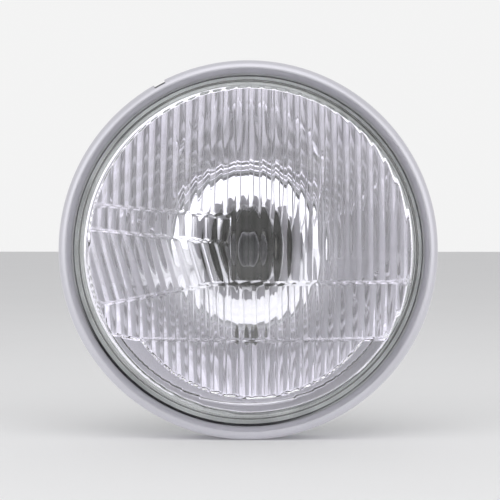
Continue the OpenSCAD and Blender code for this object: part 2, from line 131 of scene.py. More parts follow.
class MetalSettings(bpy.types.PropertyGroup):
    """Sizes of the rim, the reflector and what they hold."""

    rim: length_property("Rim radius", "Outside of the rim", 0.089)
    rim_depth: length_property("Rim depth", "From rear edge to front", 0.024)
    sheet: length_property("Rim sheet", "Thickness of the rim", 0.0009)
    bead: length_property("Bead width", "Rounded bead from the front", 0.004)
    bead_depth: length_property("Bead depth", "Depth of the bead", 0.006)
    hem: length_property("Hem", "Edge turned inwards at the back", 0.0024)
    lip: length_property("Lip", "Depth of the sloping lip", 0.003)
    focal: length_property("Focal length", "Focal length of the mirror", 0.0245)
    bowl: length_property("Bowl sheet", "Thickness of the reflector", 0.0008)
    hole: length_property("Bulb hole", "Radius of the bulb's hole", 0.019)
    plate: colour_property("Plating", "Colour of the satin plating", (0.48, 0.475, 0.515, 1.0))


# Meshes


def placed(points):
    """Points of the view frame in millimetres, as points of the part in metres."""
    p = np.asarray(points, float)
    return np.column_stack([p[:, 0], -p[:, 2], p[:, 1]]) * MM


def rings(profile, count):
    """Points of a profile of (radius, height), set round the axis at equal angles."""
    profile = np.asarray(profile, float)
    turn = np.arange(count) * 2 * np.pi / count
    return np.stack(
        [profile[:, :1] * np.cos(turn), profile[:, :1] * np.sin(turn),
         np.repeat(profile[:, 1:], count, 1)], axis=2
    ).reshape(-1, 3)


def between(first, second, count):
    """Quads between pairs of closed rings, given by the rings' numbers."""
    a, b = np.asarray(first)[:, None] * count, np.asarray(second)[:, None] * count
    k = np.arange(count)[None, :]
    after = (k + 1) % count
    return np.stack(
        np.broadcast_arrays(a + k, a + after, b + after, b + k), axis=2
    ).reshape(-1, 4)


def fan(pole, ring, count):
    """Triangles from one point to a closed ring that starts at the point `ring`."""
    k = np.arange(count)
    return np.column_stack([np.full(count, pole), ring + (k + 1) % count, ring + k])


def ring_grid(profile, count, closed=True):
    """A profile of (radius, height) turned about the axis.

    Point (i, k) lies at angle 2*pi*k/count and at the profile's i-th radius and
    height. A closed profile joins its last point to its first; an open one starts and
    ends on the axis, and both ends are drawn together to one pole.
    """
    profile = np.asarray(profile, float)
    rows = profile if closed else profile[1:-1]
    points, n = rings(rows, count), len(rows)
    i = np.arange(n if closed else n - 1)
    quads = between(i, (i + 1) % n, count)
    if closed:
        return points, [quads]
    poles = [[0, 0, profile[0, 1]], [0, 0, profile[-1, 1]]]
    caps = [fan(len(points), 0, count), fan(len(points) + 1, (n - 1) * count, count)]
    return np.vstack([points, poles]), [quads, *caps]


def zipped(a, angle_a, b, angle_b):
    """Triangles between two closed loops of points, both in order of their angle.

    Each loop moves on at the angle halfway to its next point, and every move adds the
    triangle between the two old points and the new one.
    """
    def halfway(t):
        return (t + np.roll(t, -1) + np.eye(1, len(t), len(t) - 1)[0] * 2 * np.pi) / 2

    when = np.concatenate([halfway(angle_a), halfway(angle_b)])
    which = np.concatenate([np.zeros(len(a), int), np.ones(len(b), int)])
    which = which[np.argsort(when, kind="stable")]
    ia = np.cumsum(which == 0) - (which == 0)
    ib = np.cumsum(which == 1) - (which == 1)
    at, bt = a[ia % len(a)], b[ib % len(b)]
    third = np.where(which == 0, a[(ia + 1) % len(a)], b[(ib + 1) % len(b)])
    return np.column_stack([at, third, bt])


def arc(cx, cy, rx, ry, start, end, count):
    """Points on an ellipse's arc from one angle to another, in degrees."""
    t = np.radians(np.linspace(start, end, count))
    return np.column_stack([cx + rx * np.cos(t), cy + ry * np.sin(t)])


def eased(corners, cut, count=5):
    """A path whose corners are drawn as quadratic curves between points cut off."""
    p = np.asarray(corners, float)
    before = p[:-2] - p[1:-1]
    after = p[2:] - p[1:-1]
    before *= np.minimum(cut / np.linalg.norm(before, axis=1), 0.45)[:, None]
    after *= np.minimum(cut / np.linalg.norm(after, axis=1), 0.45)[:, None]
    t = np.linspace(0, 1, count)[None, :, None]
    mid = p[1:-1][:, None, :]
    bends = mid + (1 - t) ** 2 * before[:, None, :] + t ** 2 * after[:, None, :]
    return np.vstack([p[:1], bends.reshape(-1, 3), p[-1:]])


def wire(path, radius, sides=14):
    """A round wire along a path, with closed ends.

    Each ring stands square to the path's mean direction there, turned by carrying the
    ring before it along, so that it doesn't twist.
    """
    path = np.asarray(path, float)
    step = np.diff(path, axis=0)
    step /= np.linalg.norm(step, axis=1)[:, None]
    along = np.vstack([step[:1], step[:-1] + step[1:], step[-1:]])
    along /= np.linalg.norm(along, axis=1)[:, None]
    start = np.cross(along[0], [0.31, 0.24, 0.92])

    def carried(before, direction):
        after = before - direction * (before @ direction)
        return after / np.linalg.norm(after)

    side = np.array(list(accumulate(along[1:], carried, initial=start / np.linalg.norm(start))))
    other = np.cross(along, side)
    t = np.arange(sides) * 2 * np.pi / sides
    points = (
        path[:, None, :]
        + radius * (np.cos(t)[None, :, None] * side[:, None, :]
                    + np.sin(t)[None, :, None] * other[:, None, :])
    ).reshape(-1, 3)
    i = np.arange(len(path) - 1)
    caps = [fan(len(points), 0, sides), fan(len(points) + 1, i.size * sides, sides)]
    return np.vstack([points, path[:1], path[-1:]]), [between(i, i + 1, sides), *caps]


def joined(shapes):
    """Several shapes as one list of points and faces."""
    points, faces, start = [], [], 0
    for p, f in shapes:
        points.append(p)
        faces += [g + start for g in f]
        start += len(p)
    return np.vstack(points), faces


def turned(points, angle):
    """Points turned about the axis by an angle in radians."""
    c, s = math.cos(angle), math.sin(angle)
    p = np.asarray(points, float)
    return np.column_stack([p[:, 0] * c - p[:, 1] * s, p[:, 0] * s + p[:, 1] * c, p[:, 2]])


def piece(name, shape, nodes, finishes, pick=None, sharp=40):
    """Makes a mesh object of a shape, which stands for the named nodes.

    finishes are its materials, and pick gives each face's material number from the
    faces' middle points in the view frame. Edges sharper than the angle stay hard.
    """
    points, groups = shape
    mesh = bpy.data.meshes.new(name)
    faces = [f for g in groups for f in g.tolist()]
    mesh.from_pydata(placed(points).tolist(), [], faces)
    for finish in finishes:
        mesh.materials.append(finish)
    if pick is not None:
        middles = np.vstack([points[g].mean(axis=1) for g in groups])
        mesh.polygons.foreach_set("material_index", pick(middles).astype(np.int32))
    work = bmesh.new()
    work.from_mesh(mesh)
    bmesh.ops.recalc_face_normals(work, faces=work.faces)
    work.to_mesh(mesh)
    work.free()
    mesh.shade_smooth()
    mesh.set_sharp_from_angle(angle=math.radians(sharp))
    mesh.validate()
    mesh.update()
    made = bpy.data.objects.new(name, mesh)
    bpy.context.scene.collection.objects.link(made)
    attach(made, BODY)
    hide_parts(*nodes)
    return made


# Materials


def blank_finish(name):
    """An empty node material with its Principled shader and Object coordinates."""
    finish = bpy.data.materials.new(name)
    finish.use_nodes = True
    tree = finish.node_tree
    shader = tree.nodes["Principled BSDF"]
    where = tree.nodes.new("ShaderNodeTexCoord")
    return finish, tree, shader, where.outputs["Object"]


def noise(tree, where, scale, detail=4.0):
    """Noise on Object coordinates, a number of patches to the metre."""
    n = tree.nodes.new("ShaderNodeTexNoise")
    n.inputs["Scale"].default_value = scale
    n.inputs["Detail"].default_value = detail
    tree.links.new(where, n.inputs["Vector"])
    return n.outputs["Fac"]


def spread(tree, value, low, high, out_low, out_high):
    """Maps a value's range to another."""
    m = tree.nodes.new("ShaderNodeMapRange")
    m.inputs["From Min"].default_value = low
    m.inputs["From Max"].default_value = high
    m.inputs["To Min"].default_value = out_low
    m.inputs["To Max"].default_value = out_high
    tree.links.new(value, m.inputs["Value"])
    return m.outputs["Result"]


def reckoned(tree, operation, first, second=None):
    """A Math node's result; the second value may be a number."""
    made = tree.nodes.new("ShaderNodeMath")
    made.operation = operation
    tree.links.new(first, made.inputs[0])
    if isinstance(second, (int, float)):
        made.inputs[1].default_value = second
    elif second is not None:
        tree.links.new(second, made.inputs[1])
    return made.outputs[0]


def two_tone(tree, value, dark, light):
    """Mixes two colours by a value."""
    return mixed(tree, value, (*dark, 1), (*light, 1))


def mixed(tree, share, first, second, blend="MIX"):
    """Mixes two colours, each a socket or a value, by a socket or a number."""
    m = tree.nodes.new("ShaderNodeMix")
    m.data_type, m.blend_type = "RGBA", blend
    for held, value in ((m.inputs[0], share), (m.inputs[6], first), (m.inputs[7], second)):
        if isinstance(value, bpy.types.NodeSocket):
            tree.links.new(value, held)
        else:
            held.default_value = value
    return m.outputs[2]


def bumped(tree, shader, value, height, strength=1.0):
    """Raises the surface by a value, to a height in metres."""
    b = tree.nodes.new("ShaderNodeBump")
    b.inputs["Distance"].default_value = height
    b.inputs["Strength"].default_value = strength
    tree.links.new(value, b.inputs["Height"])
    tree.links.new(b.outputs["Normal"], shader.inputs["Normal"])


def metal_finish(name, dark, light, rough, patch=60):
    """Metal with faint patches in colour and gloss, and a fine grain."""
    finish, tree, shader, where = blank_finish(name)
    shader.inputs["Metallic"].default_value = 1.0
    patches = noise(tree, where, patch)
    tree.links.new(
        two_tone(tree, spread(tree, patches, 0.3, 0.7, 0, 1), dark, light),
        shader.inputs["Base Color"],
    )
    tree.links.new(
        spread(tree, patches, 0.3, 0.7, rough * 0.8, rough * 1.2), shader.inputs["Roughness"]
    )
    bumped(tree, shader, noise(tree, where, 900, 6), 2e-6)
    return finish


def rubber_finish(name, dark, rough=0.62, light=None, tone=None):
    """Rubber or plastic with a soft bloom and a fine grain.

    tone, made from the tree and the place, mixes the dark colour with the light one.
    Without it the bloom does.
    """
    finish, tree, shader, where = blank_finish(name)
    bloom = noise(tree, where, 45)
    mix = tone(tree, where) if tone else spread(tree, bloom, 0.35, 0.7, 0, 1)
    light = light or tuple(c * 1.5 + 0.012 for c in dark)
    tree.links.new(two_tone(tree, mix, dark, light), shader.inputs["Base Color"])
    tree.links.new(
        spread(tree, bloom, 0.3, 0.7, rough - 0.1, rough + 0.12), shader.inputs["Roughness"]
    )
    bumped(tree, shader, noise(tree, where, 1400, 5), 2e-5, 0.5)
    return finish


def glass_finish(name, tint, wave=0.0):
    """Clear glass with a faint wave in its surface."""
    finish, tree, shader, where = blank_finish(name)
    shader.inputs["Base Color"].default_value = tint
    shader.inputs["Roughness"].default_value = 0.0
    shader.inputs["IOR"].default_value = 1.52
    shader.inputs["Transmission Weight"].default_value = 1.0
    if wave:
        bumped(tree, shader, noise(tree, where, 70, 2), wave)
    return finish


def mirror_finish(name):
    """Vapour-coated aluminium under lacquer: a mirror with a faint orange peel."""
    finish, tree, shader, where = blank_finish(name)
    shader.inputs["Metallic"].default_value = 1.0
    shader.inputs["Base Color"].default_value = (0.935, 0.91, 0.975, 1)
    haze = noise(tree, where, 38, 3)
    tree.links.new(spread(tree, haze, 0.35, 0.65, 0.0, 0.012), shader.inputs["Roughness"])
    bumped(tree, shader, noise(tree, where, 90, 1), 1.5e-6)
    return finish


def plated_finish(name, colour):
    """Satin plating: soft patches in colour and gloss over a fine grain."""
    finish, tree, shader, where = blank_finish(name)
    shader.inputs["Metallic"].default_value = 0.78
    cloud = noise(tree, where, 26, 3)
    light = tuple(colour[:3])
    tree.links.new(
        two_tone(tree, spread(tree, cloud, 0.3, 0.7, 0, 1),
                 tuple(c * 0.93 for c in light), light),
        shader.inputs["Base Color"],
    )
    tree.links.new(spread(tree, cloud, 0.3, 0.7, 0.36, 0.46), shader.inputs["Roughness"])
    bumped(tree, shader, noise(tree, where, 2600, 4), 1.2e-6)
    return finish


def room_level(tree, where):
    """How light the room is in a direction.

    The level follows the angle off the lens's axis, from dim straight ahead to pale.
    Soft level strips run across the dim part.
    """
    widest = 60  # degrees off the axis at which the ramp ends
    unit = tree.nodes.new("ShaderNodeVectorMath")
    unit.operation = "NORMALIZE"
    tree.links.new(where, unit.inputs[0])
    parts = tree.nodes.new("ShaderNodeSeparateXYZ")
    tree.links.new(unit.outputs[0], parts.inputs[0])
    ahead = reckoned(tree, "MULTIPLY", parts.outputs["Y"], -1.0)
    angle = reckoned(tree, "ARCCOSINE", ahead)
    ramp = tree.nodes.new("ShaderNodeValToRGB")
    tree.links.new(spread(tree, angle, 0, math.radians(widest), 0, 1), ramp.inputs[0])
    stops = ramp.color_ramp.elements
    for degrees, level in ROOM:
        stops.new(degrees / widest).color = (level, level, level, 1)
    stops.remove(stops[0])
    stops.remove(stops[len(stops) - 1])
    fade = spread(tree, angle, math.radians(12), math.radians(26), 1, 0)
    turn = reckoned(
        tree, "MULTIPLY", parts.outputs["Z"], 2 * math.pi / math.radians(STRIP_PITCH)
    )
    wave = reckoned(tree, "MULTIPLY", reckoned(tree, "COSINE", turn), STRIP_LEVEL)
    return reckoned(tree, "ADD", ramp.outputs[0], reckoned(tree, "MULTIPLY", wave, fade))


# Shapes of the glass


def dome_height(r, lens, radius):
    """Height of a dome of the given radius about the glass's centre of curvature.

    The centre lies where a circle of the shoulder's radius, standing on the straight
    wall, touches the outer dome from inside.
    """
    shoulder_w = (lens.foot + lens.skirt) / MM
    big, small, edge = lens.dome / MM, lens.shoulder / MM, lens.radius / MM
    centre = shoulder_w - math.sqrt((big - small) ** 2 - (edge - small) ** 2)
    return centre + np.sqrt(np.maximum(radius ** 2 - np.asarray(r, float) ** 2, 0)), centre


def beside(x, y, a, b):
    """Distance of points from the line through a and b, positive on its upper side."""
    dx, dy = b[0] - a[0], b[1] - a[1]
    length = math.hypot(dx, dy)
    return ((y - a[1]) * dx - (x - a[0]) * dy) / length


def flutes(x, y, phase, lean, lens, centre):
    """Height of the fluted surface.

    The section across the flutes is an arc of a little more than the dome's inner
    radius, raised by 4 d s (1 - s) over each flute, where s runs from 0 to 1, with a
    rounded cusp. It is turned about the level line through the dome's centre, square to
    the flutes. The phase is the place of one cusp, and lean the flutes' angle.
    """
    rise, cusp = 0.12, 0.07
    inner = (lens.dome - lens.thickness) / MM + rise
    pitch, depth = lens.pitch / MM, lens.depth / MM
    xb = x * math.cos(lean) + y * math.sin(lean)
    yb = y * math.cos(lean) - x * math.sin(lean)
    turn = np.arcsin(np.clip(xb / inner, -0.9, 0.9))
    s = ((turn - phase / inner) * inner / pitch) % 1.0
    near = np.minimum(s, 1 - s) * 2
    near = np.sqrt(near ** 2 + cusp ** 2) - cusp
    crest = inner + depth * near * (2 - near)
    radial = crest * np.cos(turn)
    return centre + np.sqrt(np.maximum(radial ** 2 - yb ** 2, 0))


def inner_face(x, y, lens):
    """Height of the glass's inner face: plain dome, flute fields and prism bands.

    Each point belongs to one field, found from the signs of its distances to the
    border lines. Within a line's width of a border the face falls back to the plain
    dome, which leaves the fine lines that part the fields.
    """
    r = np.hypot(x, y)
    plain, centre = dome_height(r, lens, (lens.dome - lens.thickness) / MM)
    far_x, step_x, bend_x, foot_x = -90, -7.8, -14.5, -52
    kerb_y, lower_y, foot_y, arc_r = 15.6, -14.5, -40.8, 62.1
    field_r = (lens.radius - lens.band) / MM
    in_field = field_r - np.hypot(x - lens.shift / MM, y)
    kerb_top = beside(x, y, (far_x, 22.8), (step_x, kerb_y))
    kerb_foot = beside(x, y, (far_x, 11.5), (step_x, 3.5))
    sector = np.where(
        x < bend_x, beside(x, y, (far_x, -29.5), (bend_x, lower_y)), y - lower_y
    )
    foot = np.where(x < foot_x, beside(x, y, (far_x, -34), (foot_x, foot_y)), y - foot_y)
    in_arc = arc_r - np.hypot(x - 2, y + 5.8)
    left = x < step_x

    height = flutes(x, y, 0.6, 0.0, lens, centre)
    height = np.where(left & (kerb_top < 0), flutes(x, y, step_x, 0.0, lens, centre), height)
    height = np.where(
        left & (kerb_foot < 0), flutes(x, y, step_x, lens.lean, lens, centre), height
    )
    height = np.where(sector < 0, flutes(x, y, 2.0, 0.0, lens, centre), height)
    edges = [arc_r - 6, field_r - 4.5, field_r + 2.4]
    ramp = np.where(
        r < edges[1], (r - edges[0]) / (edges[1] - edges[0]), (r - edges[1]) / (edges[2] - edges[1])
    )
    bands = plain + 0.15 + lens.prism / MM * np.clip(ramp, 0, 1)
    height = np.where((foot < 0) & (in_arc < 0), bands, height)

    far = np.full_like(x, 9.0)
    border = np.minimum.reduce([
        np.where(left, np.abs(kerb_top), far),
        np.where(left, np.abs(kerb_foot), far),
        np.abs(sector),
        np.where(in_field > 0, np.abs(foot), far),
        np.where(foot < 0, np.abs(in_arc), far),
        np.where((y > lower_y) & (y < kerb_y), np.abs(x - step_x), far),
        np.maximum(in_field, 0) * 1.2,
    ])
    half = lens.line / MM / 2
    free = np.clip((border - half * 0.4) / (half * 1.6), 0, 1)
    free = free * free * (3 - 2 * free)
    return plain + (height - plain) * free


def lens_shape(lens):
    """The glass as one closed surface.

    Its inner face is a grid of upright columns: column x carries points at
    y = t * sqrt(R^2 - x^2), with t from -1 to 1, and each end is drawn together to a
    pole. The columns lie evenly over the middle and closer together towards the ends.
    The outer dome, shoulder, wall and foot are a turned profile, zipped to the inner
    face's edge just under the corner.
    """
    wall = (lens.radius - lens.thickness) / MM
    edge, foot, small = lens.radius / MM, lens.foot / MM, lens.shoulder / MM
    shoulder_w = foot + lens.skirt / MM
    middle, rounding = 0.86 * wall, 0.6
    inner_x = np.linspace(-middle, middle, lens.columns)
    ends = wall * np.sin(np.linspace(math.asin(middle / wall), np.pi / 2, 24))[1:-1]
    xs = np.concatenate([-ends[::-1], inner_x, ends])
    t = np.linspace(-1, 1, lens.rows)
    x, tt = np.meshgrid(xs, t, indexing="ij")
    y = tt * np.sqrt(wall ** 2 - x ** 2)
    grid = np.column_stack([x.ravel(), y.ravel(), inner_face(x, y, lens).ravel()])
    poles = np.array([[-wall, 0.0], [wall, 0.0]])
    poles = np.column_stack([poles, inner_face(poles[:, 0], poles[:, 1], lens)])
    nx, ny = x.shape
    index = np.arange(nx * ny).reshape(nx, ny)
    quads = np.stack(
        [index[:-1, :-1], index[:-1, 1:], index[1:, 1:], index[1:, :-1]], axis=2
    ).reshape(-1, 4)
    west, east = nx * ny, nx * ny + 1
    fans = [
        np.column_stack([np.full(ny - 1, west), index[0, 1:], index[0, :-1]]),
        np.column_stack([np.full(ny - 1, east), index[-1, :-1], index[-1, 1:]]),
    ]
    inner = np.vstack([grid, poles])
    loop = np.concatenate([[east], index[::-1, -1], [west], index[:, 0]])
    angles = np.arctan2(inner[loop, 1], inner[loop, 0]) % (2 * np.pi)
    angles[0] = 0.0

    reach = lens.dome / MM * (edge - small) / (lens.dome / MM - small)
    r = reach * np.sin(np.linspace(0, np.pi / 2, 30)[1:])
    top, _ = dome_height(r, lens, lens.dome / MM)
    apex, _ = dome_height(0, lens, lens.dome / MM)
    start = math.degrees(math.atan2(float(top[-1]) - shoulder_w, reach - (edge - small)))
    round_edge = arc(edge - small, shoulder_w, small, small, start, 0, 12)[1:]
    corner, _ = dome_height(wall, lens, (lens.dome - lens.thickness) / MM)
    profile = np.vstack([
        np.column_stack([r, top]), round_edge,
        arc(edge - rounding, foot + rounding, rounding, rounding, 0, -90, 5),
        arc(wall + rounding, foot + rounding, rounding, rounding, -90, -180, 5),
        [[wall, float(corner) - 0.35]],
    ])
    count = 288
    outer = np.vstack([rings(profile, count), [[0, 0, float(apex)]]])
    n, start = len(profile), len(inner)
    i = np.arange(n - 1)
    walls = between(i, i + 1, count)
    cap = fan(len(outer) - 1, 0, count)
    k = np.arange(count)
    seam = zipped(loop, angles, (n - 1) * count + k + start, k * 2 * np.pi / count)
    return np.vstack([inner, outer]), [quads, *fans, walls + start, cap + start, seam]


# Shapes of the metal


def rim_profile(metal):
    """Closed section of the rim: hem, skirt, elliptic bead and sloping lip."""
    outside, depth = metal.rim / MM, metal.rim_depth / MM
    sheet, bead, deep = metal.sheet / MM, metal.bead / MM, metal.bead_depth / MM
    crease, inside = outside - bead, outside - sheet
    lip = crease - LENS_GAP + 0.6
    drop = metal.lip / MM
    return np.vstack([
        [[inside - metal.hem / MM, 0.15], [inside - metal.hem / MM + 0.15, 0.0]],
        arc(outside - 0.7, 0.7, 0.7, 0.7, -90, 0, 6),
        arc(crease, depth - deep, bead, deep, 0, 86, 22),
        [[crease - 0.15, depth - 0.08], [crease - 0.45, depth - 0.45],
         [lip + 0.1, depth - drop + 0.12], [lip, depth - drop - 0.2],
         [lip + 0.05, depth - drop - sheet], [lip + 0.2, depth - drop - sheet * 1.25]],
        arc(crease, depth - deep, bead - sheet, deep - sheet, 90, 0, 14),
        [[inside, sheet + 0.3], [inside - 0.3, sheet], [inside - metal.hem / MM, sheet]],
    ])


def rim_shape(metal, notch=5.6, cut=1.4, count=360):
    """The rim turned about the axis, with its notch.

    The columns on either side of the notch are moved to its two sides. Between them,
    every profile point further out than the notch's floor is drawn in to that floor,
    over the notch's length.
    """
    points, groups = ring_grid(rim_profile(metal), count)
    angle = np.degrees(np.arctan2(points[:, 1], points[:, 0])) % 360
    off = (angle - NOTCH_ANGLE + 180) % 360 - 180
    half = math.degrees(math.asin(notch / 2 / (metal.rim / MM)))
    step = 360 / count
    rank = np.round(off / step)
    near = (np.abs(off) < half + 1.6 * step) & (np.abs(rank) <= 3)
    places = np.array([-half - 0.9, -half - 0.02, -half + 0.02, 0, half - 0.02, half + 0.02,
                       half + 0.9])
    new = np.where(near, places[(np.clip(rank, -3, 3) + 3).astype(int)], off)
    r = np.hypot(points[:, 0], points[:, 1])
    floor = metal.rim / MM - cut
    deep = metal.rim_depth / MM - metal.bead_depth / MM - 3
    inside = (np.abs(new) < half - 0.01) & (r > floor) & (points[:, 2] > deep)
    r = np.where(inside, floor, r)
    a = np.radians(new + NOTCH_ANGLE)
    return np.column_stack([r * np.cos(a), r * np.sin(a), points[:, 2]]), groups


def lens_edge(metal):
    """Radius of the glass's edge, which follows the rim."""
    return (metal.rim - metal.bead) / MM - LENS_GAP


def mirror_height(r, metal, wall=0.0):
    """Height of the paraboloid r^2 / (4 f) above its vertex, or of its outer side."""
    focal, mouth = metal.focal / MM, lens_edge(metal) - FLANGE_WIDTH
    vertex = FLANGE_W - mouth ** 2 / (4 * focal)
    slope = np.asarray(r, float) / (2 * focal)
    return vertex + np.asarray(r, float) ** 2 / (4 * focal) - wall * np.sqrt(1 + slope ** 2)


def seat_height(metal):
    """Height of the bulb's seat."""
    return float(mirror_height(0, metal)) + metal.focal / MM - LIGHT_CENTRE


def reflector_shape(metal, count=288):
    """The reflector turned about the axis, with the pilot lamp's hole and sleeve.

    Faces whose corners lie in the hole are left out of both sides, the points along
    its edge are drawn on to the circle, and the open edges of the two sides are joined
    by a wall.
    """
    drop, hole = PILOT_DROP, PILOT_HOLE
    sheet, neck, seat = metal.bowl / MM, metal.hole / MM, seat_height(metal)
    mouth, flange = lens_edge(metal) - FLANGE_WIDTH, FLANGE_W
    cup = lens_edge(metal) + 0.7
    steps = 110
    r = np.linspace(neck, mouth - 0.25, steps)
    inner = np.column_stack([r, mirror_height(r, metal)])
    outer = np.column_stack([r, mirror_height(r, metal, sheet)])[::-1]
    outer[-1, 0] = neck + sheet
    brim = [[mouth + 0.35, flange - 0.05], [mouth + 0.8, flange],
            [cup - 0.3, flange], [cup, flange + 0.3], [cup, flange + 4.6],
            [cup + sheet, flange + 4.6], [cup + sheet, flange - sheet + 0.6],
            [cup + sheet - 0.6, flange - sheet], [mouth + 1.3, flange - sheet]]
    profile = np.vstack([[[neck, seat]], inner, brim, outer, [[neck + sheet, seat]]])
    points, (quads,) = ring_grid(profile, count)
    first_in, first_out = 1, 1 + steps + len(brim)
    row = np.arange(len(points)) // count
    in_row = (row >= first_in) & (row < first_in + steps)
    out_row = (row >= first_out) & (row < first_out + steps)
    away = np.hypot(points[:, 0], points[:, 1] + drop)
    gone = (in_row | out_row) & (away < hole) & (points[:, 1] < 0)
    kept = quads[gone[quads].sum(axis=1) < 2]
    edge = np.sort(np.stack([kept, np.roll(kept, -1, axis=1)], axis=2).reshape(-1, 2), axis=1)
    lines, times = np.unique(edge, axis=0, return_counts=True)
    open_edges = lines[times == 1]
    rim_points = np.unique(open_edges)
    scale = hole / away[rim_points]
    points[rim_points, 0] *= scale
    points[rim_points, 1] = (points[rim_points, 1] + drop) * scale - drop
    rr = np.hypot(points[rim_points, 0], points[rim_points, 1])
    points[rim_points, 2] = np.where(
        out_row[rim_points], mirror_height(rr, metal, sheet), mirror_height(rr, metal)
    )
    ins = open_edges[in_row[open_edges].all(axis=1)]
    mate_row = first_out + steps - 1 - (ins // count - first_in)
    mates = mate_row * count + ins % count
    bore = np.column_stack([ins, mates[:, ::-1]])
    return points, [kept, bore]


def sleeve_shape(metal, outside=8.5, count=96):
    """Sleeve for the pilot lamp, parallel to the axis.

    A turned profile whose upper points take their height from the middle of the
    reflector's sheet above them.
    """
    drop, hole, sheet = PILOT_DROP, PILOT_HOLE, metal.bowl / MM
    low = float(mirror_height(drop - outside, metal)) - sheet - 6
    a = np.arange(count) * 2 * np.pi / count
    rows = [(outside, None), (hole, None), (hole, low + 5), (outside - sheet, low + 5),
            (outside - sheet, low + 0.2), (outside - sheet + 0.2, low), (outside - 0.2, low),
            (outside, low + 0.2)]
    made = []
    for r, w in rows:
        x, y = r * np.cos(a), r * np.sin(a) - drop
        top = mirror_height(np.hypot(x, y), metal, sheet * 0.55)
        made.append(np.column_stack([x, y, top if w is None else np.full(count, w)]))
    i = np.arange(len(rows))
    return np.vstack(made), [between(i, (i + 1) % len(rows), count)]


def node_box(node):
    """A node's lowest and highest corners in the view frame, in millimetres."""
    low, high = (np.array(c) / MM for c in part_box(node))
    return (
        np.array([low[0], low[2], -high[1]]),
        np.array([high[0], high[2], -low[1]]),
    )


# Operators


class AddLens(bpy.types.Operator):
    """Adds the domed glass with its flutes"""

    bl_idname = "headlight.add_lens"
    bl_label = "Lens"

    def execute(self, context):
        lens = context.scene.headlight_lens
        glass = glass_finish("lens_glass", lens.tint, wave=1.2e-5)
        piece("lens_glass", lens_shape(lens), ["lens"], [glass], sharp=50)
        return {"FINISHED"}


class AddRim(bpy.types.Operator):
    """Adds the satin-plated rim with its notch"""

    bl_idname = "headlight.add_rim"
    bl_label = "Rim"

    def execute(self, context):
        metal = context.scene.headlight_metal
        plate = plated_finish("satin_plate", metal.plate)
        # The notch's faces are painted near-black steel: painted shade in the recess of the notch.
        notch_shade = metal_finish("notch_shaded_steel", (0.07, 0.07, 0.075), (0.13, 0.13, 0.135), 0.5)

        def pick(middle):
            turn = np.degrees(np.arctan2(middle[:, 1], middle[:, 0])) % 360
            r = np.hypot(middle[:, 0], middle[:, 1])
            cut = (np.abs(turn - NOTCH_ANGLE) < 1.85) & (r > 86.8) & (middle[:, 2] > 14.5)
            return np.where(cut, 1, 0)

        shape = rim_shape(metal)
        piece("plated_rim", shape, ["rim"], [plate, notch_shade], pick, sharp=35)
        return {"FINISHED"}


class AddReflector(bpy.types.Operator):
    """Adds the deep reflector with its mirror, hole and sleeve"""

    bl_idname = "headlight.add_reflector"
    bl_label = "Reflector"

    def execute(self, context):
        metal = context.scene.headlight_metal
        mirror = mirror_finish("mirror_coat")
        back = metal_finish("zinc_steel", (0.46, 0.47, 0.48), (0.60, 0.61, 0.62), 0.36)

        def pick(middle):
            r = np.hypot(middle[:, 0], middle[:, 1])
            return np.where(middle[:, 2] > mirror_height(r, metal, 0.3), 0, 1)

        shape = joined([reflector_shape(metal), sleeve_shape(metal)])
        piece("reflector_bowl", shape, ["reflector"], [mirror, back], pick)
        return {"FINISHED"}


class AddSeals(bpy.types.Operator):
    """Adds the sealing compound and the soft ring under the lip"""

    bl_idname = "headlight.add_seals"
    bl_label = "Seals"

    def execute(self, context):
        lens = context.scene.headlight_lens
        # The ring is painted light grey so that its sides show no shade, and near black towards its
        # lower left as painted shadow of the gap under the lip.
        ring_rubber = rubber_finish(
            "ring_rubber", (0.50, 0.505, 0.52), light=(0.012, 0.012, 0.016), tone=self.painted_gap_shadow
        )
        compound = rubber_finish("sealing_compound", (0.64, 0.655, 0.655), 0.5)
        low, high = node_box("lens_seal")
        edge, foot = lens.radius / MM, lens.foot / MM
        wall = (lens.radius - lens.thickness) / MM
        bed = [[wall - 0.5, low[2]], [high[0], low[2]], [high[0], high[2] - 0.1],
               [high[0] - 0.15, high[2]], [edge + 0.1, high[2] - 0.15], [edge, high[2] - 0.4],
               [edge, foot], [wall - 0.2, foot], [wall - 0.5, foot - 0.3]]
        piece("seal_bed", ring_grid(bed, 256), ["lens_seal"], [compound])
        low, high = node_box("rim_gasket")
        ring = np.vstack([
            arc(edge + 0.65, low[2] + 0.5, 0.5, 0.5, 180, 270, 5),
            arc(high[0] - 0.5, low[2] + 0.5, 0.5, 0.5, 270, 360, 5),
            arc(high[0] - 0.5, high[2] - 0.5, 0.5, 0.5, 0, 90, 5),
            arc(edge + 0.65, high[2] - 0.5, 0.5, 0.5, 90, 180, 5),
        ])
        piece("lip_ring", ring_grid(ring, 256), ["rim_gasket"], [ring_rubber])
        return {"FINISHED"}

    def painted_gap_shadow(self, tree, where):
        """Painted shadow: grows from 0 to 1 towards the ring's lower left, where the gap under the
        lip lies in shade.
        """
        parts = tree.nodes.new("ShaderNodeSeparateXYZ")
        tree.links.new(where, parts.inputs[0])
        low = reckoned(tree, "ADD", reckoned(tree, "MULTIPLY", parts.outputs["X"], -0.42),
                       reckoned(tree, "MULTIPLY", parts.outputs["Z"], -0.91))
        return spread(tree, low, 0.048, 0.07, 0, 1)


